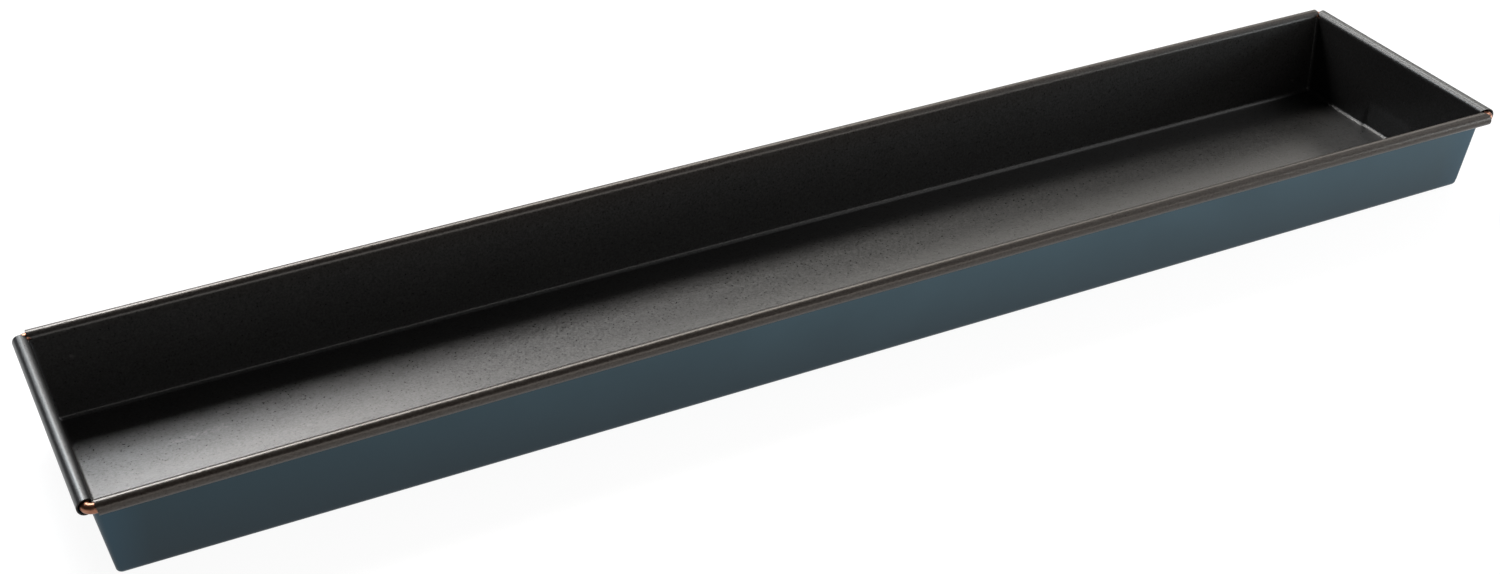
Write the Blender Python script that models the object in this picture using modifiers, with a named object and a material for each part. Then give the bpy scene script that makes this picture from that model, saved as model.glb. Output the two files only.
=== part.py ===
"""Long rectangular tart pan, in metres, +Z up, standing on z = 0 with its length along X.

The pan is one folded steel sheet: a flat floor, four leaning walls joined by rounded corner
bends, two folded corner flaps lying flat on the outside of each end wall, and a rim rolled
outwards on each of the four sides. A copper-plated steel wire loop lies inside the rolled rim
and shows where the rolls stop short of each other at the four corners.
"""

import math

import bmesh
import bpy

# Driving dimensions of the sheet body
LENGTH = 0.500
WIDTH = 0.101
HEIGHT = 0.0314
SHEET = 0.0004
SIDE_FLARE = math.radians(7.2)
END_FLARE = math.radians(6.7)
FLOOR_BEND = 0.0018
CORNER_BEND_FLOOR = 0.0006
CORNER_BEND_FOOT = 0.0014
CORNER_BEND_RIM = 0.0013
ROLL_OUTER = 0.0024

# How far each long wall bows out at the middle of its rim; the front one is bowed inwards
FRONT_BOW = -0.0017
BACK_BOW = 0.0008

# The rolled rim, by angle round the roll from the inner side over the top to the tucked edge
ROLL_END_ANGLE = math.radians(315)

# The two ends of each roll, taken along the side: how far it stops short of the corner, how much
# more its top does so, and the angles round it where it leaves the wall's corner and has its reach
ROLL_ENDS = {
    "front": ((0.0028, -0.0004, 7, 100), (0.0018, 0.0002, 80, 135)),
    "right": ((0.0013, 0.0003, 7, 100), (0.0014, 0.0, 7, 60)),
    "back": ((0.0018, 0.0, 7, 50), (0.0023, 0.0, 7, 50)),
    "left": ((0.0014, 0.0, 7, 60), (0.0014, 0.0003, 7, 100)),
}

# The wire loop inside the rim
WIRE_RADIUS = 0.0016
WIRE_CORNER = 0.0024
WIRE_JOINT_X = -0.120
WIRE_JOINT_GAP = 0.0006

# The corner flaps, folded flat onto the outside of the end walls
FLAP_THICKNESS = 2 * SHEET
FLAP_SUNK = 0.9 * SHEET
FLAP_LENGTH = 0.0235
FLAP_FOOT_Z = 0.0036
FLAP_TOP_Z = 0.0262
FLAP_TIP = 0.0016
FLAP_INSET = 0.0004

# How finely the surfaces are divided
LONG_STEPS = 14
END_STEPS = 2
BEND_STEPS = 3
CORNER_STEPS = 4
ROLL_STEPS = 16
WIRE_CORNER_STEPS = 5
WIRE_ROUND_STEPS = 2
WELD_DISTANCE = 0.00001
SHARP_ANGLE = math.radians(35)

ROLL_MIDDLE = ROLL_OUTER - SHEET / 2
RIM_X = LENGTH / 2 - ROLL_OUTER
RIM_Y = WIDTH / 2 - ROLL_OUTER
RIM_Z = HEIGHT - ROLL_OUTER
# The bow makes the back stand out further than the front, so the body moves forward by half of it
SHIFT_Y = -BACK_BOW / 2

# How far each wall leans out, by the reach of its roll's centre line from the middle of the pan
FLARES = {RIM_X: END_FLARE, RIM_Y: SIDE_FLARE}

# Each side of the rim: along, outwards, reach of its roll and bow, counter-clockwise from above
SIDES = {
    "front": ((1, 0), (0, -1), RIM_Y, FRONT_BOW),
    "right": ((0, 1), (1, 0), RIM_X, 0.0),
    "back": ((-1, 0), (0, 1), RIM_Y, BACK_BOW),
    "left": ((0, -1), (-1, 0), RIM_X, 0.0),
}


def clear_scene():
    for old in list(bpy.data.objects):
        bpy.data.objects.remove(old, do_unlink=True)


def new_collection(name):
    made = bpy.data.collections.new(name)
    bpy.context.scene.collection.children.link(made)
    return made


def new_material(name, colour, roughness, metallic):
    made = bpy.data.materials.new(name)
    made.use_nodes = True
    shader = made.node_tree.nodes["Principled BSDF"]
    shader.inputs["Base Color"].default_value = (*colour, 1.0)
    shader.inputs["Roughness"].default_value = roughness
    shader.inputs["Metallic"].default_value = metallic
    return made


def new_object(name, data, material, collection):
    made = bpy.data.objects.new(name, data)
    made.data.materials.append(material)
    collection.objects.link(made)
    return made


def bowed(bow, t):
    """How far a side stands out at t, from -1 to 1 along it."""
    return bow * (1 - t * t)


def wall_root(reach, flare):
    """Where a wall's middle surface runs into its roll: distance out, height."""
    return reach - ROLL_MIDDLE * math.cos(flare), RIM_Z + ROLL_MIDDLE * math.sin(flare)


def bend_centre(reach, flare):
    """Centre of the bend between the floor and a wall: distance out, height."""
    root_out, root_z = wall_root(reach, flare)
    centre_z = SHEET / 2 + FLOOR_BEND
    foot_z = centre_z - FLOOR_BEND * math.sin(flare)
    foot_out = root_out - (root_z - foot_z) * math.tan(flare)
    return foot_out - FLOOR_BEND * math.cos(flare), centre_z


def neighbour(reach):
    """The reach of the rolls on the two sides next to a side."""
    return RIM_X if reach == RIM_Y else RIM_Y


def wall_levels():
    """Rings from the floor's edge to the rim: {reach: (out, height)}, corner radius, share of bow."""
    levels = []
    top_angle = math.pi / 2 - SIDE_FLARE
    for step in range(BEND_STEPS + 1):
        angle = top_angle * step / BEND_STEPS
        places = {}
        for reach, flare in FLARES.items():
            centre_out, centre_z = bend_centre(reach, flare)
            out = centre_out + FLOOR_BEND * math.sin(angle)
            places[reach] = (out, centre_z - FLOOR_BEND * math.cos(angle))
        share = math.sin(angle) / math.sin(top_angle)
        radius = CORNER_BEND_FLOOR + (CORNER_BEND_FOOT - CORNER_BEND_FLOOR) * share
        levels.append((places, radius, 0.0))
    roots = {reach: wall_root(reach, flare) for reach, flare in FLARES.items()}
    levels.append((roots, CORNER_BEND_RIM, 1.0))
    return levels


def ring(level):
    """The closed ring of points at one level, and where each side starts in it."""
    places, radius, bow_share = level
    points, starts = [], {}
    for name, (along, outwards, reach, bow) in SIDES.items():
        out, z = places[reach]
        other_out, other_z = places[neighbour(reach)]
        half = other_out - radius
        steps = LONG_STEPS if reach == RIM_Y else END_STEPS
        starts[name] = len(points)
        for step in range(steps + 1):
            t = 2 * step / steps - 1
            u = t * half
            v = out + bow_share * bowed(bow, t)
            points.append((along[0] * u + outwards[0] * v, along[1] * u + outwards[1] * v, z))
        for step in range(1, CORNER_STEPS):
            q = math.pi / 2 * step / CORNER_STEPS
            u = half + radius * math.sin(q)
            v = out - radius + radius * math.cos(q)
            height = z + (other_z - z) * math.sin(q) ** 2
            points.append((along[0] * u + outwards[0] * v, along[1] * u + outwards[1] * v, height))
    return points, starts


def roll_tip(name, end, angle, half):
    """How far a roll reaches from its side's middle at one end, at an angle round it."""
    short, lean, start, stop = ROLL_ENDS[name][end]
    full = neighbour(SIDES[name][2]) - short - lean * math.sin(angle)
    rise = min(1.0, max(0.0, (math.degrees(angle) - start) / (stop - start)))
    return half + (full - half) * rise * rise * (3 - 2 * rise)


def add_roll(mesh, name, root_verts):
    """Rolls the sheet outwards from a wall's top edge, over the top and back under itself."""
    along, outwards, reach, bow = SIDES[name]
    flare = FLARES[reach]
    steps = len(root_verts) - 1
    other = neighbour(reach)
    half = wall_root(other, FLARES[other])[0] - CORNER_BEND_RIM
    previous = root_verts
    for step in range(1, ROLL_STEPS + 1):
        angle = flare + (ROLL_END_ANGLE - flare) * step / ROLL_STEPS
        row = []
        for column in range(steps + 1):
            t = 2 * column / steps - 1
            u = t * half
            if abs(t) == 1:
                u = t * roll_tip(name, 0 if t < 0 else 1, angle, half)
            v = reach + bowed(bow, t) - ROLL_MIDDLE * math.cos(angle)
            z = RIM_Z + ROLL_MIDDLE * math.sin(angle)
            place = (along[0] * u + outwards[0] * v, along[1] * u + outwards[1] * v, z)
            row.append(mesh.verts.new(place))
        for column in range(steps):
            quad = (previous[column], previous[column + 1], row[column + 1], row[column])
            mesh.faces.new(quad)
        previous = row


def sheet_mesh():
    """The middle surface of the folded sheet: floor, bends, walls and rolls."""
    mesh = bmesh.new()
    rings = []
    for level in wall_levels():
        points, starts = ring(level)
        rings.append([mesh.verts.new(p) for p in points])
    mesh.faces.new(rings[0])
    for lower, upper in zip(rings, rings[1:]):
        for i in range(len(lower)):
            j = (i + 1) % len(lower)
            mesh.faces.new((lower[i], lower[j], upper[j], upper[i]))
    for name in SIDES:
        steps = LONG_STEPS if name in ("front", "back") else END_STEPS
        first = starts[name]
        add_roll(mesh, name, rings[-1][first : first + steps + 1])
    bmesh.ops.translate(mesh, verts=mesh.verts, vec=(0, SHIFT_Y, 0))
    bmesh.ops.recalc_face_normals(mesh, faces=mesh.faces)
    made = bpy.data.meshes.new("pan_body")
    mesh.to_mesh(made)
    mesh.free()
    return made


def flap_cutter(name, end_side, hand, material, collection):
    """A corner flap: a triangle of doubled sheet on an end wall, its slanting edge the fold.

    end_side is +1 or -1 along X, and hand is +1 or -1 along Y.
    """
    root_out, root_z = wall_root(RIM_X, END_FLARE)
    side_out, side_z = wall_root(RIM_Y, SIDE_FLARE)
    slant = 1 / math.cos(END_FLARE)
    foot, top = FLAP_FOOT_Z * slant, FLAP_TOP_Z * slant
    edge_foot = side_out - (side_z - FLAP_FOOT_Z) * math.tan(SIDE_FLARE) - FLAP_INSET
    edge_top = side_out - (side_z - FLAP_TOP_Z) * math.tan(SIDE_FLARE) - FLAP_INSET
    outline = [
        (edge_foot, foot),
        (edge_top, top),
        (edge_top - FLAP_LENGTH, top),
        (edge_top - FLAP_LENGTH, top - FLAP_TIP),
        (edge_foot - FLAP_TIP, foot),
    ]
    curve = bpy.data.curves.new(name, "CURVE")
    curve.dimensions = "2D"
    curve.fill_mode = "BOTH"
    curve.extrude = (FLAP_THICKNESS + FLAP_SUNK) / 2
    spline = curve.splines.new("POLY")
    spline.points.add(len(outline) - 1)
    spline.use_cyclic_u = True
    for point, (u, w) in zip(spline.points, outline):
        point.co = (hand * end_side * u, w, 0, 1)
    flap = new_object(name, curve, material, collection)
    # The curve's plane becomes the end wall's: X along the wall, Y up its slant, Z outwards
    centre_out = SHEET / 2 - FLAP_SUNK + (FLAP_THICKNESS + FLAP_SUNK) / 2
    flap.rotation_euler = (math.pi / 2 + END_FLARE, 0, end_side * math.pi / 2)
    wall_at_zero = root_out - root_z * math.tan(END_FLARE)
    normal_out = math.cos(END_FLARE) * centre_out
    flap.location = (
        end_side * (wall_at_zero + normal_out),
        SHIFT_Y,
        -math.sin(END_FLARE) * centre_out,
    )
    return flap


def mesh_from_curve(curve_object, collection):
    """Turns a curve object into a closed mesh object of the same name and place."""
    bpy.context.view_layer.update()
    graph = bpy.context.evaluated_depsgraph_get()
    data = bpy.data.meshes.new_from_object(curve_object.evaluated_get(graph))
    name, place = curve_object.name, curve_object.matrix_world.copy()
    old_curve = curve_object.data
    bpy.data.objects.remove(curve_object, do_unlink=True)
    bpy.data.curves.remove(old_curve)
    mesh = bmesh.new()
    mesh.from_mesh(data)
    bmesh.ops.remove_doubles(mesh, verts=mesh.verts, dist=WELD_DISTANCE)
    bmesh.ops.recalc_face_normals(mesh, faces=mesh.faces)
    mesh.to_mesh(data)
    mesh.free()
    made = bpy.data.objects.new(name, data)
    made.matrix_world = place
    collection.objects.link(made)
    return made


def build_body(parts, cutters, material):
    body = new_object("pan_body", sheet_mesh(), material, parts)
    thicken = body.modifiers.new("sheet", "SOLIDIFY")
    thicken.thickness = SHEET
    thicken.offset = 0.0
    thicken.use_even_offset = True
    for end_side in (-1, 1):
        for hand in (-1, 1):
            name = f"flap_{'right' if end_side > 0 else 'left'}_{'back' if hand > 0 else 'front'}"
            curve = flap_cutter(name, end_side, hand, material, cutters)
            flap = mesh_from_curve(curve, cutters)
            flap.hide_render = True
            flap.display_type = "WIRE"
            join = body.modifiers.new(name, "BOOLEAN")
            join.operation = "UNION"
            join.solver = "EXACT"
            join.object = flap
    body.data.shade_smooth()
    body.data.set_sharp_from_angle(angle=SHARP_ANGLE)
    return body


def wire_path():
    """The wire's centre line, from one side of its joint round the rim to the other."""
    points = []
    for name, (along, outwards, reach, bow) in SIDES.items():
        half = neighbour(reach) - WIRE_CORNER
        steps = LONG_STEPS if reach == RIM_Y else END_STEPS
        for step in range(steps + 1):
            t = 2 * step / steps - 1
            u = t * half
            v = reach + bowed(bow, t)
            points.append((name, along[0] * u + outwards[0] * v, along[1] * u + outwards[1] * v))
        for step in range(1, WIRE_CORNER_STEPS):
            q = math.pi / 2 * step / WIRE_CORNER_STEPS
            u = half + WIRE_CORNER * math.sin(q)
            v = reach - WIRE_CORNER + WIRE_CORNER * math.cos(q)
            points.append(("corner", along[0] * u + outwards[0] * v, along[1] * u + outwards[1] * v))
    before = [p for p in points if p[0] == "back" and p[1] > WIRE_JOINT_X]
    last_before = points.index(before[-1])
    turned = points[last_before + 1 :] + points[: last_before + 1]
    ends = []
    half = RIM_X - WIRE_CORNER
    for x in (WIRE_JOINT_X - WIRE_JOINT_GAP / 2, WIRE_JOINT_X + WIRE_JOINT_GAP / 2):
        ends.append((x, RIM_Y + bowed(BACK_BOW, x / half)))
    middle = [(x, y) for _, x, y in turned]
    return [(x, y + SHIFT_Y, RIM_Z) for x, y in [ends[0], *middle, ends[1]]]


def build_wire(parts, material):
    curve = bpy.data.curves.new("rim_wire", "CURVE")
    curve.dimensions = "3D"
    curve.bevel_depth = WIRE_RADIUS
    curve.bevel_resolution = WIRE_ROUND_STEPS
    curve.use_fill_caps = True
    route = wire_path()
    spline = curve.splines.new("POLY")
    spline.points.add(len(route) - 1)
    for point, place in zip(spline.points, route):
        point.co = (*place, 1)
    spline.use_smooth = True
    return new_object("rim_wire", curve, material, parts)


def main():
    clear_scene()
    parts = new_collection("tart_pan")
    cutters = new_collection("cutters")
    enamel = new_material("dark_coated_steel", (0.035, 0.045, 0.055), 0.42, 0.35)
    copper = new_material("copper_plated_wire", (0.72, 0.36, 0.22), 0.28, 1.0)
    build_body(parts, cutters, enamel)
    build_wire(parts, copper)


main()
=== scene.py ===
"""Looks of the long rectangular tart pan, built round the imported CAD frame, in metres.

The pan is one folded steel sheet with a non-stick coat inside and a blue-grey enamel outside. The
coat side of the sheet rolls over the rim's copper-plated wire, so the rolls have the inside's finish.
"""

import math

import bmesh
import bpy
from mathutils import Matrix, Vector


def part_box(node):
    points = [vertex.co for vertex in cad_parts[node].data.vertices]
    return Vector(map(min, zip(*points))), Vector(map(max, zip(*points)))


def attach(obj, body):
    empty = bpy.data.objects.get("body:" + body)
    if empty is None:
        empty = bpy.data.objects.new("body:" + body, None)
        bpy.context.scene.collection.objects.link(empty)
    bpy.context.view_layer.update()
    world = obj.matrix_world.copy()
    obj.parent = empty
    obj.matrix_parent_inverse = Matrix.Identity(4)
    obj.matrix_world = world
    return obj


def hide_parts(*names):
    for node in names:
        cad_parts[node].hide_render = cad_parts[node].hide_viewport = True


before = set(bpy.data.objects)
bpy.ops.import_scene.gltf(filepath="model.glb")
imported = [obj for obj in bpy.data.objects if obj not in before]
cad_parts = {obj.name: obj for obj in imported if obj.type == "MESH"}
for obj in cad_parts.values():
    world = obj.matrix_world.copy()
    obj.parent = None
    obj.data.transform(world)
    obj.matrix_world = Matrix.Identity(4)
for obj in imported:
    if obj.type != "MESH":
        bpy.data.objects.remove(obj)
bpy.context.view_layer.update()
body_low, body_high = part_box("pan_body")
wire_low, wire_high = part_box("rim_wire")

# Shape of the folded sheet, as the CAD has it
SHEET = 0.0004
SIDE_FLARE = math.radians(7.2)
END_FLARE = math.radians(6.7)
FLOOR_BEND = 0.0018
CORNER_BEND_FLOOR = 0.0006
CORNER_BEND_FOOT = 0.0014
CORNER_BEND_RIM = 0.0013
FRONT_BOW = -0.0017
BACK_BOW = 0.0008
ROLL_END_ANGLE = math.radians(315)
WIRE_CORNER = 0.0024
WIRE_JOINT_X = -0.120
WIRE_JOINT_GAP = 0.0006

# Sizes taken from the frame
RIM_Z = (wire_low.z + wire_high.z) / 2
WIRE_RADIUS = (wire_high.z - wire_low.z) / 2
ROLL_OUTER = body_high.z - RIM_Z
ROLL_MIDDLE = ROLL_OUTER - SHEET / 2
RIM_X = body_high.x - ROLL_OUTER
RIM_Y = (body_high.y - body_low.y - BACK_BOW) / 2 - ROLL_OUTER
SHIFT_Y = body_low.y + RIM_Y + ROLL_OUTER

# The two ends of each roll, taken along the side: how far it stops short of the corner, how much
# more its top does so, and the angles round it where it leaves the wall's corner and has its reach
ROLL_ENDS = {
    "front": ((0.0028, -0.0004, 7, 100), (0.0018, 0.0002, 80, 135)),
    "right": ((0.0013, 0.0003, 7, 100), (0.0014, 0.0, 7, 60)),
    "back": ((0.0018, 0.0, 7, 50), (0.0023, 0.0, 7, 50)),
    "left": ((0.0014, 0.0, 7, 60), (0.0014, 0.0003, 7, 100)),
}

# The corner flaps, folded flat onto the outside of the end walls
FLAP_LENGTH = 0.0245
FLAP_LIFT_FOOT = 0.00002
FLAP_LIFT_TOP = 0.0008
FLAP_BEND_FOOT = 0.0014
FLAP_BEND_TOP = 0.0026
FLAP_INNER_BEND = 0.0015
FLAP_FOOT_Z = 0.0026
FLAP_TOP_Z = 0.0270
FLAP_SUNK = 0.0001
FLAP_START = 0.0006
FLAP_LEAST_LENGTH = 0.0008

# A shallow dent at the foot of the right end wall, pushed outwards: along the wall and up it
DENT_FRONT = -0.0130
DENT_BACK = 0.0100
DENT_TOP = 0.0104
DENT_DEPTH = 0.0006
DENT_EDGE = 0.0015
DENT_TOP_SHARE = 0.35

# How finely the surfaces are divided
LONG_STEPS = 120
END_STEPS = 96
BEND_STEPS = 8
WALL_STEPS = 24
CORNER_STEPS = 10
ROLL_STEPS = 36
TIP_STEPS = 4
FLAP_LEVELS = 16
FLAP_ARC_STEPS = 8
FLAP_FLAT_STEPS = 4
FLAP_FOLD_STEPS = 5
WIRE_CORNER_STEPS = 14
WIRE_SIDES = 28
SHARP_ANGLE = math.radians(50)

FLARES = {RIM_X: END_FLARE, RIM_Y: SIDE_FLARE}
SIDES = {
    "front": ((1, 0), (0, -1), RIM_Y, FRONT_BOW),
    "right": ((0, 1), (1, 0), RIM_X, 0.0),
    "back": ((-1, 0), (0, 1), RIM_Y, BACK_BOW),
    "left": ((0, -1), (-1, 0), RIM_X, 0.0),
}

# The photograph's viewpoint
CAMERA_PLACE = Vector((-0.29408, -0.57233, 0.40481))
CAMERA_AZIMUTH = math.radians(-25.4717)
CAMERA_ELEVATION = math.radians(31.9832)
CAMERA_ROLL = math.radians(-1.12516)
CAMERA_LENS = 54.0
CAMERA_SENSOR = 36.0
CAMERA_CLIP = (0.01, 50.0)


# ---------------------------------------------------------------- shape helpers


def bowed(bow, t):
    """How far a side stands out at t, from -1 to 1 along it."""
    return bow * (1 - t * t)


def wall_root(reach, flare):
    """Where a wall's middle surface runs into its roll: distance out, height."""
    return reach - ROLL_MIDDLE * math.cos(flare), RIM_Z + ROLL_MIDDLE * math.sin(flare)


def bend_centre(reach, flare):
    """Centre of the bend between the floor and a wall: distance out, height."""
    root_out, root_z = wall_root(reach, flare)
    centre_z = SHEET / 2 + FLOOR_BEND
    foot_z = centre_z - FLOOR_BEND * math.sin(flare)
    foot_out = root_out - (root_z - foot_z) * math.tan(flare)
    return foot_out - FLOOR_BEND * math.cos(flare), centre_z


def neighbour(reach):
    """The reach of the rolls on the two sides next to a side."""
    return RIM_X if reach == RIM_Y else RIM_Y


def place_on(side, u, v, z):
    """World place of a point u along a side and v out from the pan's middle."""
    along, outwards = SIDES[side][:2]
    return along[0] * u + outwards[0] * v, along[1] * u + outwards[1] * v + SHIFT_Y, z


def wall_levels():
    """Rings from the floor's edge to the rim: {reach: (out, height)}, corner radius, share of bow."""
    levels = []
    top_angle = math.pi / 2 - SIDE_FLARE
    for step in range(BEND_STEPS + 1):
        angle = top_angle * step / BEND_STEPS
        places = {}
        for reach, flare in FLARES.items():
            centre_out, centre_z = bend_centre(reach, flare)
            out = centre_out + FLOOR_BEND * math.sin(angle)
            places[reach] = (out, centre_z - FLOOR_BEND * math.cos(angle))
        share = math.sin(angle) / math.sin(top_angle)
        radius = CORNER_BEND_FLOOR + (CORNER_BEND_FOOT - CORNER_BEND_FLOOR) * share
        levels.append((places, radius, 0.0))
    feet = levels[-1][0]
    for step in range(1, WALL_STEPS + 1):
        share = step / WALL_STEPS
        places = {}
        for reach, flare in FLARES.items():
            foot, root = feet[reach], wall_root(reach, flare)
            places[reach] = tuple(a + (b - a) * share for a, b in zip(foot, root))
        radius = CORNER_BEND_FOOT + (CORNER_BEND_RIM - CORNER_BEND_FOOT) * share
        levels.append((places, radius, share))
    return levels


def ramp(value, start, stop):
    """A smooth rise from 0 at start to 1 at stop."""
    share = min(1.0, max(0.0, (value - start) / (stop - start)))
    return share * share * (3 - 2 * share)


def dented(name, u, z):
    """How far the right end wall is pushed outwards at u along it and a height."""
    if name != "right" or z > DENT_TOP:
        return 0.0
    across = ramp(u, DENT_FRONT - DENT_EDGE, DENT_FRONT) * ramp(u, DENT_BACK, DENT_BACK - DENT_EDGE)
    upwards = DENT_TOP_SHARE + (1 - DENT_TOP_SHARE) * ramp(z, DENT_TOP, 0.0)
    return DENT_DEPTH * across * upwards * ramp(z, DENT_TOP, DENT_TOP - DENT_EDGE)


def steps_along(reach):
    """How many steps divide a side."""
    return LONG_STEPS if reach == RIM_Y else END_STEPS


def ring(level):
    """The closed ring of points at one level, and where each side starts in it."""
    places, radius, bow_share = level
    points, starts = [], {}
    for name, (_, _, reach, bow) in SIDES.items():
        out, z = places[reach]
        other_out, other_z = places[neighbour(reach)]
        half = other_out - radius
        steps = steps_along(reach)
        starts[name] = len(points)
        for step in range(steps + 1):
            t = 2 * step / steps - 1
            v = out + bow_share * bowed(bow, t) + dented(name, t * half, z)
            points.append(place_on(name, t * half, v, z))
        for step in range(1, CORNER_STEPS):
            q = math.pi / 2 * step / CORNER_STEPS
            u = half + radius * math.sin(q)
            v = out - radius + radius * math.cos(q)
            height = z + (other_z - z) * math.sin(q) ** 2
            points.append(place_on(name, u, v, height))
    return points, starts


def linked(name, mesh, *materials):
    """An object in the scene, made from a bmesh that is then freed."""
    data = bpy.data.meshes.new(name)
    mesh.to_mesh(data)
    mesh.free()
    for material in materials:
        data.materials.append(material)
    made = bpy.data.objects.new(name, data)
    bpy.context.scene.collection.objects.link(made)
    return made


def smooth(data):
    """Smooth shading, with sharp edges past an angle."""
    data.shade_smooth()
    data.set_sharp_from_angle(angle=SHARP_ANGLE)


# ---------------------------------------------------------------- the folded sheet


def add_floor(mesh, level, lowest, starts):
    """The flat floor: a grid that meets the straight sides, with a fan at each corner."""
    places, radius, _ = level
    half_x, z = places[RIM_X]
    half_y = places[RIM_Y][0]
    rows = []
    for j in range(END_STEPS + 1):
        y = (2 * j / END_STEPS - 1) * (half_y - radius) + SHIFT_Y
        row = []
        for i in range(LONG_STEPS + 1):
            x = (2 * i / LONG_STEPS - 1) * (half_x - radius)
            row.append(mesh.verts.new((x, y, z)))
        rows.append(row)
    for lower, upper in zip(rows, rows[1:]):
        for i in range(LONG_STEPS):
            mesh.faces.new((lower[i], lower[i + 1], upper[i + 1], upper[i]))
    edges = {
        "front": rows[0],
        "right": [row[-1] for row in rows],
        "back": rows[-1][::-1],
        "left": [row[0] for row in rows][::-1],
    }
    for name, inner in edges.items():
        first = starts[name]
        for i in range(len(inner) - 1):
            mesh.faces.new((lowest[first + i], lowest[first + i + 1], inner[i + 1], inner[i]))
        corner = first + len(inner) - 1
        for i in range(CORNER_STEPS):
            arc = (lowest[corner + i], lowest[(corner + i + 1) % len(lowest)])
            mesh.faces.new((*arc, inner[-1]))


def roll_tip(name, end, angle, half):
    """How far a roll reaches from its side's middle at one end, at an angle round it."""
    short, lean, start, stop = ROLL_ENDS[name][end]
    full = neighbour(SIDES[name][2]) - short - lean * math.sin(angle)
    return half + (full - half) * ramp(math.degrees(angle), start, stop)


def roll_columns(name, half, angle):
    """Places along a roll at one angle round it: (u, t) from its near tip to its far tip."""
    near, far = (roll_tip(name, end, angle, half) for end in (0, 1))
    near_half, far_half = min(half, near), min(half, far)
    steps = steps_along(SIDES[name][2])
    columns = []
    for k in range(TIP_STEPS, 0, -1):
        columns.append((-near_half - (near - near_half) * k / TIP_STEPS, -1.0))
    for step in range(steps + 1):
        t = 2 * step / steps - 1
        columns.append((t * (near_half if t < 0 else far_half), t))
    for k in range(1, TIP_STEPS + 1):
        columns.append((far_half + (far - far_half) * k / TIP_STEPS, 1.0))
    return columns


def add_roll(mesh, name, root_verts):
    """Rolls the sheet outwards from a wall's top edge, over the top and back under itself."""
    _, _, reach, bow = SIDES[name]
    flare = FLARES[reach]
    other = neighbour(reach)
    half = wall_root(other, FLARES[other])[0] - CORNER_BEND_RIM
    previous = [root_verts[0]] * TIP_STEPS + list(root_verts) + [root_verts[-1]] * TIP_STEPS
    for step in range(1, ROLL_STEPS + 1):
        angle = flare + (ROLL_END_ANGLE - flare) * step / ROLL_STEPS
        row = []
        for u, t in roll_columns(name, half, angle):
            v = reach + bowed(bow, t) - ROLL_MIDDLE * math.cos(angle)
            z = RIM_Z + ROLL_MIDDLE * math.sin(angle)
            row.append(mesh.verts.new(place_on(name, u, v, z)))
        for i in range(len(row) - 1):
            corners = (row[i], row[i + 1], previous[i + 1], previous[i])
            mesh.faces.new(tuple(dict.fromkeys(corners)))
        previous = row


def middle_surface():
    """The middle surface of the folded sheet: floor, bends, walls and rolls."""
    mesh = bmesh.new()
    rings = []
    levels = wall_levels()
    for level in levels:
        points, starts = ring(level)
        rings.append([mesh.verts.new(p) for p in points])
    add_floor(mesh, levels[0], rings[0], starts)
    for lower, upper in zip(rings, rings[1:]):
        for i in range(len(lower)):
            j = (i + 1) % len(lower)
            mesh.faces.new((upper[i], upper[j], lower[j], lower[i]))
    for name in SIDES:
        first = starts[name]
        count = steps_along(SIDES[name][2]) + 1
        add_roll(mesh, name, rings[-1][first : first + count])
    return mesh


def finished_mesh(name, piece):
    """Applies a piece's modifiers, leaving a plain mesh."""
    bpy.context.view_layer.update()
    graph = bpy.context.evaluated_depsgraph_get()
    data = bpy.data.meshes.new_from_object(piece.evaluated_get(graph))
    bpy.data.objects.remove(piece, do_unlink=True)
    data.name = name
    smooth(data)
    made = bpy.data.objects.new(name, data)
    bpy.context.scene.collection.objects.link(made)
    return made


def build_sheet(coat, enamel, edge):
    """The sheet body, with the coat on its inner side and rolls and the enamel outside."""
    piece = linked("pan_sheet", middle_surface(), coat, enamel, edge)
    thicken = piece.modifiers.new("sheet", "SOLIDIFY")
    thicken.thickness = SHEET
    thicken.offset = 0.0
    thicken.use_even_offset = True
    thicken.material_offset = 1
    thicken.material_offset_rim = 2
    return finished_mesh("pan_sheet", piece)


# ---------------------------------------------------------------- the corner flaps


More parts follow.
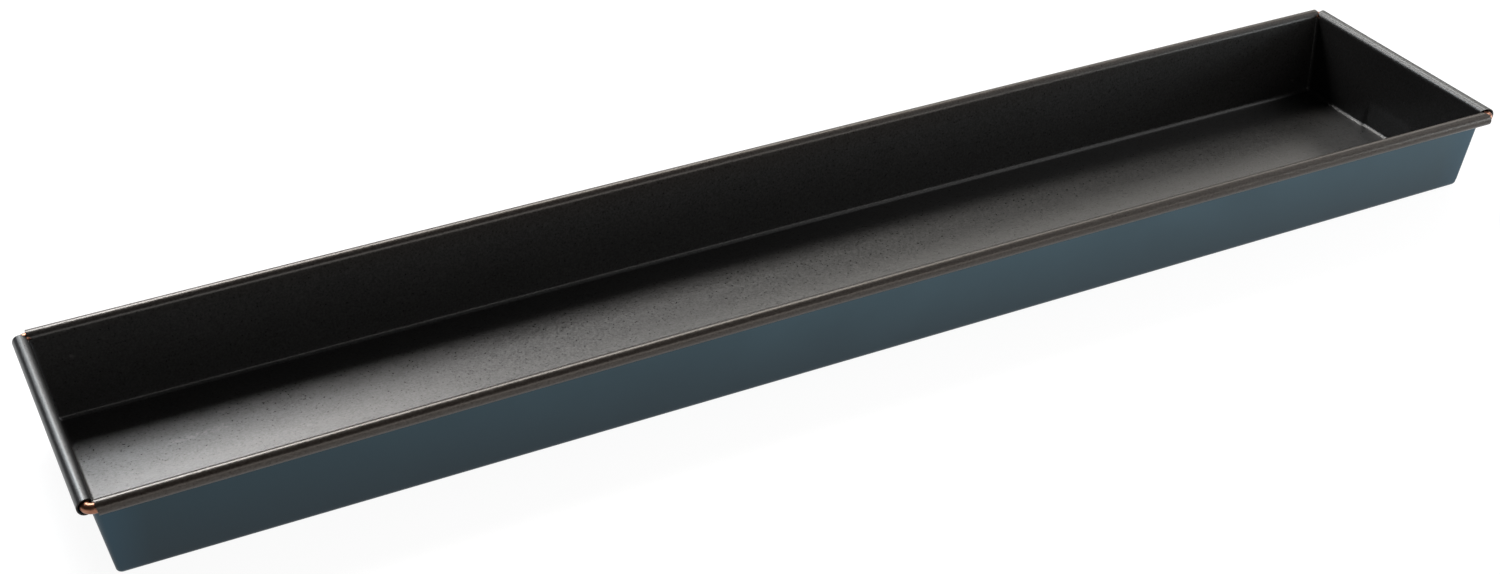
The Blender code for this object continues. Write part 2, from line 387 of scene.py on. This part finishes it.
def flap_slice(z):
    """One level of a flap seen from above, as (out along X, out along Y) from the pan's middle.

    It runs from the side wall round the corner, along the end wall, over the slanting fold and
    back inside the end wall.
    """
    side_root = wall_root(RIM_Y, SIDE_FLARE)
    end_root = wall_root(RIM_X, END_FLARE)
    skin_x = end_root[0] - (end_root[1] - z) * math.tan(END_FLARE) + SHEET / 2 / math.cos(END_FLARE)
    skin_y = side_root[0] - (side_root[1] - z) * math.tan(SIDE_FLARE) + SHEET / 2 / math.cos(SIDE_FLARE)
    rise = (z - FLAP_FOOT_Z) / (FLAP_TOP_Z - FLAP_FOOT_Z)
    radius = FLAP_BEND_FOOT + (FLAP_BEND_TOP - FLAP_BEND_FOOT) * rise
    lift = FLAP_LIFT_FOOT + (FLAP_LIFT_TOP - FLAP_LIFT_FOOT) * rise
    length = max(FLAP_LEAST_LENGTH, FLAP_LENGTH * rise)
    centre_x, centre_y = skin_x - radius, skin_y - radius
    points = [(centre_x - FLAP_START, skin_y - FLAP_SUNK)]
    for step in range(FLAP_ARC_STEPS + 1):
        q = math.pi / 2 * step / FLAP_ARC_STEPS
        points.append((centre_x + lift + radius * math.sin(q), centre_y + radius * math.cos(q)))
    fold = lift / 2
    for step in range(1, FLAP_FLAT_STEPS + 1):
        y = centre_y - (length - fold) * step / FLAP_FLAT_STEPS
        points.append((skin_x + lift, y))
    for step in range(1, FLAP_FOLD_STEPS + 1):
        q = math.pi * step / FLAP_FOLD_STEPS
        points.append((skin_x + fold + fold * math.cos(q), centre_y - length + fold - fold * math.sin(q)))
    points.append((skin_x - FLAP_SUNK, centre_y - length + fold))
    points.append((skin_x - FLAP_SUNK, centre_y))
    inside = FLAP_INNER_BEND - FLAP_SUNK
    for step in range(1, FLAP_ARC_STEPS):
        q = math.pi / 2 * (1 - step / FLAP_ARC_STEPS)
        x = skin_x - FLAP_INNER_BEND + inside * math.sin(q)
        points.append((x, skin_y - FLAP_INNER_BEND + inside * math.cos(q)))
    return points


def build_flap(name, end_side, hand, enamel):
    """A corner flap of doubled sheet; end_side is +1 or -1 along X and hand +1 or -1 along Y."""
    mesh = bmesh.new()
    rings = []
    for step in range(FLAP_LEVELS + 1):
        z = FLAP_FOOT_Z + (FLAP_TOP_Z - FLAP_FOOT_Z) * step / FLAP_LEVELS
        places = [(end_side * x, hand * y + SHIFT_Y, z) for x, y in flap_slice(z)]
        rings.append([mesh.verts.new(p) for p in places])
    for lower, upper in zip(rings, rings[1:]):
        for i in range(len(lower)):
            j = (i + 1) % len(lower)
            mesh.faces.new((lower[i], lower[j], upper[j], upper[i]))
    mesh.faces.new(rings[0])
    mesh.faces.new(rings[-1])
    bmesh.ops.recalc_face_normals(mesh, faces=mesh.faces)
    made = linked(name, mesh, enamel)
    smooth(made.data)
    return made


# ---------------------------------------------------------------- the copper-plated wire


def wire_path():
    """The wire's centre line, from one side of its joint round the rim to the other."""
    points = []
    for name, (_, _, reach, bow) in SIDES.items():
        half = neighbour(reach) - WIRE_CORNER
        steps = steps_along(reach)
        for step in range(steps + 1):
            t = 2 * step / steps - 1
            points.append((name, place_on(name, t * half, reach + bowed(bow, t), RIM_Z)))
        for step in range(1, WIRE_CORNER_STEPS):
            q = math.pi / 2 * step / WIRE_CORNER_STEPS
            u = half + WIRE_CORNER * math.sin(q)
            v = reach - WIRE_CORNER + WIRE_CORNER * math.cos(q)
            points.append(("corner", place_on(name, u, v, RIM_Z)))
    before = [p for p in points if p[0] == "back" and p[1][0] > WIRE_JOINT_X]
    last_before = points.index(before[-1])
    turned = points[last_before + 1 :] + points[: last_before + 1]
    half = RIM_X - WIRE_CORNER
    ends = []
    for x in (WIRE_JOINT_X - WIRE_JOINT_GAP / 2, WIRE_JOINT_X + WIRE_JOINT_GAP / 2):
        ends.append((x, RIM_Y + bowed(BACK_BOW, x / half) + SHIFT_Y, RIM_Z))
    return [Vector(ends[0]), *[Vector(p) for _, p in turned], Vector(ends[1])]


def build_wire(copper):
    """The wire loop as a fine tube along its path, open only at its butt joint."""
    path = wire_path()
    mesh = bmesh.new()
    rings = []
    for i, place in enumerate(path):
        ahead, behind = path[min(i + 1, len(path) - 1)], path[max(i - 1, 0)]
        heading = (ahead - behind).normalized()
        across = heading.cross(Vector((0, 0, 1))).normalized()
        row = []
        for k in range(WIRE_SIDES):
            q = 2 * math.pi * k / WIRE_SIDES
            spoke = math.cos(q) * across + Vector((0, 0, math.sin(q)))
            row.append(mesh.verts.new(place + WIRE_RADIUS * spoke))
        rings.append(row)
    for lower, upper in zip(rings, rings[1:]):
        for k in range(WIRE_SIDES):
            j = (k + 1) % WIRE_SIDES
            mesh.faces.new((lower[k], lower[j], upper[j], upper[k]))
    mesh.faces.new(rings[0])
    mesh.faces.new(rings[-1])
    bmesh.ops.recalc_face_normals(mesh, faces=mesh.faces)
    made = linked("copper_wire_loop", mesh, copper)
    smooth(made.data)
    return made


# ---------------------------------------------------------------- materials


NOISE_LOW = 0.3
NOISE_HIGH = 0.7


class Nodes:
    """A short way to write a node tree: n.add makes a node, n.put sets or links a socket."""

    def __init__(self, name):
        self.material = bpy.data.materials.new(name)
        self.material.use_nodes = True
        self.tree = self.material.node_tree
        self.shader = self.tree.nodes["Principled BSDF"]
        self.place = self.add("ShaderNodeTexCoord").outputs["Object"]

    def add(self, kind, inputs=None, **settings):
        node = self.tree.nodes.new(kind)
        for key, value in settings.items():
            setattr(node, key, value)
        for key, value in (inputs or {}).items():
            self.put(node.inputs[key], value)
        return node

    def put(self, socket, value):
        if isinstance(value, bpy.types.NodeSocket):
            self.tree.links.new(value, socket)
        else:
            socket.default_value = value

    def noise(self, scale, detail=2.0, roughness=0.5):
        """Noise over the object, scale in features per metre."""
        settings = {"Vector": self.place, "Scale": scale, "Detail": detail, "Roughness": roughness}
        return self.add("ShaderNodeTexNoise", settings).outputs["Fac"]

    def remap(self, value, low, high, to_low, to_high):
        """A value moved from one range to another, and held inside it."""
        settings = {0: value, 1: low, 2: high, 3: to_low, 4: to_high}
        return self.add("ShaderNodeMapRange", settings).outputs[0]

    def spread(self, noise, ends):
        """A noise's usual values spread from one end to the other."""
        return self.remap(noise, NOISE_LOW, NOISE_HIGH, *ends)

    def math(self, operation, a, b):
        return self.add("ShaderNodeMath", {0: a, 1: b}, operation=operation).outputs[0]

    def vector(self, operation, inputs):
        return self.add("ShaderNodeVectorMath", inputs, operation=operation).outputs

    def blend(self, share, a, b):
        """Colour a at share 0 and colour b at share 1."""
        node = self.add("ShaderNodeMix", data_type="RGBA")
        for socket, value in zip((node.inputs[0], node.inputs[6], node.inputs[7]), (share, a, b)):
            self.put(socket, value)
        return node.outputs[2]

    def stroke(self, start, end, reach):
        """1 on the line between two places, falling to 0 at reach from it."""
        line = Vector(end) - Vector(start)
        offset = self.vector("SUBTRACT", {0: self.place, 1: start})[0]
        along = self.vector("DOT_PRODUCT", {0: offset, 1: line})["Value"]
        share = self.remap(along, 0.0, line.length_squared, 0.0, 1.0)
        nearest = self.vector("SCALE", {0: line, "Scale": share})[0]
        gap = self.vector("DISTANCE", {0: offset, 1: nearest})["Value"]
        return self.remap(gap, 0.0, reach, 1.0, 0.0)

    def bump(self, height, distance, strength=1.0, normal=None):
        settings = {"Height": height, "Distance": distance, "Strength": strength}
        if normal:
            settings["Normal"] = normal
        return self.add("ShaderNodeBump", settings).outputs[0]


COAT_DARK = (0.0082, 0.0080, 0.0079, 1)
COAT_LIGHT = (0.0134, 0.0129, 0.0126, 1)
COAT_WARM = (0.0140, 0.0100, 0.0080, 1)
# Painted highlight: the end rolls' coat made lighter and slightly bluer
COAT_END_HIGHLIGHT = (0.0210, 0.0220, 0.0240, 1)
SHINE_WARM = (1.0, 0.93, 0.86, 1)
SHINE_BLUE = (0.94, 0.98, 1.0, 1)
COAT_PALE_MARK = (0.050, 0.048, 0.046, 1)
ENAMEL_DARK = (0.0046, 0.0225, 0.0330, 1)
ENAMEL_LIGHT = (0.0066, 0.0300, 0.0435, 1)
# Paler enamel toward the right end: painted light
ENAMEL_PAINTED_LIGHT = (0.0310, 0.0690, 0.0910, 1)
# Darker enamel at the foot: painted shade
ENAMEL_FOOT_SHADE = (0.0022, 0.0105, 0.0170, 1)
# Lighter, bluer enamel by the ends: a painted reflection on the corner bends
ENAMEL_CORNER_REFLECTION = (0.0150, 0.0560, 0.0900, 1)
SHINE_PLAIN = (1, 1, 1, 1)
EDGE_DARK = (0.010, 0.008, 0.007, 1)
EDGE_BARE = (0.035, 0.028, 0.024, 1)
COPPER_BRIGHT = (0.42, 0.20, 0.13, 1)
COPPER_TARNISH = (0.12, 0.05, 0.03, 1)

# What the noises vary: roughness, and the coat's specular level
COAT_ROUGHNESS = (0.27, 0.39)
COAT_SHINE = (0.34, 0.66)
ENAMEL_ROUGHNESS = (0.33, 0.37)
EDGE_ROUGHNESS = (0.35, 0.55)
COPPER_ROUGHNESS = (0.30, 0.42)
COAT_IOR = 1.5
ENAMEL_IOR = 1.35
EDGE_METAL = 0.6

# The coat's tints: how far in from the wire's centre line each starts and is full
END_TINT = (0.0022, 0.0010)
LONG_TINT = (0.0030, 0.0010)

# The enamel's painted light and shade: paler from one x to another (painted light), darker at the foot
# (painted shade), bluer from one distance to another (a painted reflection by the corners)
ENAMEL_MOTTLE = (0.7, 0.95)
PAINTED_LIGHT_START = -0.22
PAINTED_LIGHT_FULL = 0.02
FOOT_SHADE_SHARE = 0.7
CORNER_REFLECTION_START = 0.016
CORNER_REFLECTION_FULL = 0.003
CORNER_REFLECTION_SHARE = 0.5

# Marks in the coat: both ends and the half-width of a line on the floor, and x, z and size of a speck
FLOOR_PALE_LINE = ((0.1975, 0.0158, SHEET), (0.1976, -0.0005, SHEET), 0.00022)
FLOOR_PALE_LINE_STRENGTH = 0.7
RUBBED_PATCH = ((-0.2120, 0.0138, SHEET), (-0.1960, 0.0146, SHEET), 0.0026)
RUBBED_NOISE = (0.42, 0.62)
RUBBED_STRENGTH = 0.8
SPECKS = ((0.2337, 0.0063, 0.0007), (-0.2340, 0.0207, 0.0008))
SPECK_REACH = (0.0006, 0.0, -0.0003)


def back_wall_place(x, z):
    """A place on the inner face of the back wall."""
    root_out, root_z = wall_root(RIM_Y, SIDE_FLARE)
    return x, root_out - (root_z - z) * math.tan(SIDE_FLARE) + SHIFT_Y, z


def pale_marks(n):
    """A fine lighter line and a rubbed patch on the floor, and two specks on the back wall."""
    patches = n.remap(n.noise(900.0, 3.0, 0.6), *RUBBED_NOISE, 0.0, RUBBED_STRENGTH)
    patchy = n.math("MULTIPLY", n.stroke(*RUBBED_PATCH), patches)
    marks = n.math("MAXIMUM", n.math("MULTIPLY", n.stroke(*FLOOR_PALE_LINE), FLOOR_PALE_LINE_STRENGTH), patchy)
    for x, z, reach in SPECKS:
        place = Vector(back_wall_place(x, z))
        speck = n.stroke(place, place + Vector(SPECK_REACH), reach)
        marks = n.math("MAXIMUM", marks, speck)
    return marks


def rim_tints(n, coat, warm_tint, blue_tint):
    """A colour of the coat, changed to a warmer one on the long rolls and a bluer on the end rolls; for the
    base colour the end rolls' lighter blue is a painted highlight.
    """
    parts = n.add("ShaderNodeSeparateXYZ", {0: n.place}).outputs
    tints = []
    for part, rim, (start, full) in ((parts[0], RIM_X, END_TINT), (parts[1], RIM_Y, LONG_TINT)):
        tints.append(n.remap(n.math("ABSOLUTE", part, 0.0), rim - start, rim - full, 0.0, 1.0))
    return n.blend(tints[0], n.blend(tints[1], coat, warm_tint), blue_tint)


def coat_material():
    """Satin non-stick coat: near-black, with a fine grain, a soft mottle, a few marks, warmer long rolls,
    and end rolls lightened by a painted highlight.
    """
    n = Nodes("nonstick_coat")
    marks = pale_marks(n)
    mottle = n.noise(55.0, 4.0, 0.55)
    grain = n.noise(1400.0, 3.0, 0.6)
    peel = n.noise(420.0, 2.0, 0.5)
    # The end rolls' lighter blue is a painted highlight
    coat = rim_tints(n, n.blend(mottle, COAT_DARK, COAT_LIGHT), COAT_WARM, COAT_END_HIGHLIGHT)
    n.put(n.shader.inputs["Specular Tint"], rim_tints(n, SHINE_PLAIN, SHINE_WARM, SHINE_BLUE))
    n.put(n.shader.inputs["Base Color"], n.blend(marks, coat, COAT_PALE_MARK))
    n.put(n.shader.inputs["Roughness"], n.spread(grain, COAT_ROUGHNESS))
    n.put(n.shader.inputs["Specular IOR Level"], n.spread(grain, COAT_SHINE))
    peeled = n.bump(peel, 0.00006, 0.2)
    n.put(n.shader.inputs["Normal"], n.bump(grain, 0.00006, 0.35, peeled))
    n.shader.inputs["IOR"].default_value = COAT_IOR
    return n.material


def enamel_material():
    """Blue-grey enamel with a faint orange peel; painted light makes it paler toward the right end, painted
    shade darker at the foot, and a painted reflection bluer by the corners.
    """
    n = Nodes("blue_grey_enamel")
    mottle = n.noise(40.0, 4.0, 0.55)
    grain = n.noise(1900.0, 2.0, 0.55)
    peel = n.noise(260.0, 2.0, 0.5)
    parts = n.add("ShaderNodeSeparateXYZ", {0: n.place}).outputs
    # Painted light: the enamel grows paler toward the right end
    painted_lit_wall = n.blend(n.remap(parts[0], PAINTED_LIGHT_START, PAINTED_LIGHT_FULL, 0.0, 1.0), ENAMEL_LIGHT, ENAMEL_PAINTED_LIGHT)
    wall = n.blend(n.spread(mottle, ENAMEL_MOTTLE), ENAMEL_DARK, painted_lit_wall)
    # Painted shade: the enamel darkens toward the foot
    wall = n.blend(n.remap(parts[2], 0.0, RIM_Z, FOOT_SHADE_SHARE, 0.0), wall, ENAMEL_FOOT_SHADE)
    # Painted reflection: lighter and bluer near the ends
    corner_reflection_range = (RIM_X - CORNER_REFLECTION_START, RIM_X - CORNER_REFLECTION_FULL, 0.0, CORNER_REFLECTION_SHARE)
    corner_reflection = n.remap(n.math("ABSOLUTE", parts[0], 0.0), *corner_reflection_range)
    n.put(n.shader.inputs["Base Color"], n.blend(corner_reflection, wall, ENAMEL_CORNER_REFLECTION))
    n.put(n.shader.inputs["Roughness"], n.spread(mottle, ENAMEL_ROUGHNESS))
    peeled = n.bump(peel, 0.00008, 0.10)
    n.put(n.shader.inputs["Normal"], n.bump(grain, 0.00003, 0.15, peeled))
    n.shader.inputs["IOR"].default_value = ENAMEL_IOR
    return n.material


def edge_material():
    """The sheet's sheared edge: dark, half-coated steel."""
    n = Nodes("sheared_edge")
    patches = n.noise(900.0, 3.0, 0.6)
    n.put(n.shader.inputs["Base Color"], n.blend(patches, EDGE_DARK, EDGE_BARE))
    n.put(n.shader.inputs["Roughness"], n.spread(patches, EDGE_ROUGHNESS))
    n.shader.inputs["Metallic"].default_value = EDGE_METAL
    n.put(n.shader.inputs["Normal"], n.bump(patches, 0.00004, 0.4))
    return n.material


def copper_material():
    """Copper-plated steel wire: satin, with brown tarnish in patches."""
    n = Nodes("copper_plating")
    tarnish = n.noise(420.0, 4.0, 0.6)
    grain = n.noise(3000.0, 2.0, 0.6)
    n.put(n.shader.inputs["Base Color"], n.blend(tarnish, COPPER_BRIGHT, COPPER_TARNISH))
    n.put(n.shader.inputs["Roughness"], n.spread(tarnish, COPPER_ROUGHNESS))
    n.shader.inputs["Metallic"].default_value = 1.0
    n.put(n.shader.inputs["Normal"], n.bump(grain, 0.00003, 0.4))
    return n.material


# ---------------------------------------------------------------- stage, light and camera


def build_floor():
    """A large pale floor that the pan stands on, glowing a little so that shadows stay faint."""
    mesh = bmesh.new()
    bmesh.ops.create_grid(mesh, x_segments=1, y_segments=1, size=FLOOR_HALF)
    n = Nodes("pale_floor")
    n.put(n.shader.inputs["Base Color"], n.blend(n.noise(3.0), FLOOR_DIM, FLOOR_PALE))
    n.shader.inputs["Roughness"].default_value = 0.8
    n.shader.inputs["Specular IOR Level"].default_value = 0.1
    n.shader.inputs["Emission Color"].default_value = (1, 1, 1, 1)
    n.shader.inputs["Emission Strength"].default_value = FLOOR_GLOW
    floor = linked("studio_floor", mesh, n.material)
    floor.location.z = -FLOOR_DROP


# Softboxes, each facing a point on the pan's length: azimuth (0 behind it, 90 at its right) and
# elevation in degrees, distance, the point's x, how many degrees wide and tall it looks from there,
# radiance and colour
SOFTBOXES = {
    "key_behind": (0, 50, 0.62, -0.22, 17, 14, 20.0, (0.93, 1.0, 1.05)),
    "key_above": (0, 55, 1.6, 0.0, 20, 7, 4.0, (1.0, 1.0, 1.0)),
    "key_low": (10, 40.5, 1.0, -0.20, 16, 13, 10.8, (1.04, 1.0, 0.97)),
    "key_middle": (10, 52, 0.85, -0.20, 16, 9, 14.6, (1.08, 0.99, 0.94)),
    "key_right": (15, 50, 1.6, 0.0, 14, 16, 9.0, (1.0, 1.0, 1.0)),
    "key_wing": (31, 50, 1.6, 0.0, 18, 14, 8.7, (1.04, 1.0, 0.92)),
    "low_left": (-12, 29, 1.4, -0.10, 26, 12, 4.5, (1.0, 1.0, 1.0)),
    "low_behind": (40, 28, 1.8, 0.0, 50, 16, 2.7, (1.04, 1.0, 0.94)),
    "right_side": (82, 38, 1.4, 0.0, 40, 54, 1.0, (1.0, 1.0, 1.0)),
    "front_right": (118, 9, 0.6, 0.13, 36, 14, 8.5, (0.92, 1.0, 1.04)),
    "front_right_high": (122, 38, 1.4, 0.0, 36, 28, 1.1, (1.0, 1.0, 1.0)),
    "front": (165, 16, 1.4, 0.0, 46, 22, 2.4, (1.03, 1.0, 0.97)),
}
FLOOR_HALF = 6.0
FLOOR_DROP = 0.00005
FLOOR_GLOW = 0.93
FLOOR_DIM = (0.13, 0.13, 0.13, 1)
FLOOR_PALE = (0.15, 0.15, 0.15, 1)
SURROUND = 0.05


def soft_light(name, azimuth, elevation, distance, aim_x, wide, tall, radiance, colour):
    """One softbox of an even radiance, unseen by the camera."""
    a, e = math.radians(azimuth), math.radians(elevation)
    towards = Vector((math.sin(a) * math.cos(e), math.cos(a) * math.cos(e), math.sin(e)))
    lamp = bpy.data.lights.new(name, "AREA")
    lamp.shape = "RECTANGLE"
    lamp.size = 2 * distance * math.tan(math.radians(wide) / 2)
    lamp.size_y = 2 * distance * math.tan(math.radians(tall) / 2)
    lamp.energy = radiance * math.pi * lamp.size * lamp.size_y
    lamp.color = colour
    made = bpy.data.objects.new(name, lamp)
    made.location = towards * distance + Vector((aim_x, 0, 0))
    made.rotation_mode = "QUATERNION"
    made.rotation_quaternion = towards.to_track_quat("Z", "Y")
    made.visible_camera = False
    bpy.context.scene.collection.objects.link(made)


def build_lights():
    """The softboxes, and a surround that is white to the camera and nearly dark to the pan."""
    for name, settings in SOFTBOXES.items():
        soft_light(name, *settings)
    world = bpy.data.worlds.new("studio")
    world.use_nodes = True
    bpy.context.scene.world = world
    tree = world.node_tree
    path = tree.nodes.new("ShaderNodeLightPath")
    glow = tree.nodes.new("ShaderNodeMix")
    glow.data_type = "FLOAT"
    tree.links.new(path.outputs["Is Camera Ray"], glow.inputs[0])
    glow.inputs[2].default_value = SURROUND
    glow.inputs[3].default_value = 1.0
    tree.links.new(glow.outputs[0], tree.nodes["Background"].inputs["Strength"])
    tree.nodes["Background"].inputs["Color"].default_value = (1, 1, 1, 1)


def build_camera():
    """The camera at the photograph's place; azimuth 0 looks along +Y."""
    a, e, roll = CAMERA_AZIMUTH, CAMERA_ELEVATION, CAMERA_ROLL
    back = Vector((math.sin(a) * math.cos(e), -math.cos(a) * math.cos(e), math.sin(e)))
    level = Vector((0, 0, 1)).cross(back).normalized()
    upright = back.cross(level)
    right = math.cos(roll) * level + math.sin(roll) * upright
    up = math.cos(roll) * upright - math.sin(roll) * level
    data = bpy.data.cameras.new("camera")
    data.lens = CAMERA_LENS
    data.sensor_width = CAMERA_SENSOR
    data.clip_start, data.clip_end = CAMERA_CLIP
    camera = bpy.data.objects.new("camera", data)
    camera.matrix_world = Matrix.Translation(CAMERA_PLACE) @ Matrix((right, up, back)).transposed().to_4x4()
    bpy.context.scene.collection.objects.link(camera)
    bpy.context.scene.camera = camera


# ---------------------------------------------------------------- assembly


def main():
    bpy.context.scene.view_settings.view_transform = "Standard"
    build_camera()
    coat, enamel, edge, copper = coat_material(), enamel_material(), edge_material(), copper_material()
    sheet = build_sheet(coat, enamel, edge)
    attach(sheet, "root")
    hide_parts("pan_body")
    for end_side, end_name in ((-1, "left"), (1, "right")):
        for hand, hand_name in ((-1, "front"), (1, "back")):
            flap = build_flap(f"corner_flap_{end_name}_{hand_name}", end_side, hand, enamel)
            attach(flap, "root")
    wire = build_wire(copper)
    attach(wire, "root")
    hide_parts("rim_wire")
    build_floor()
    build_lights()


main()
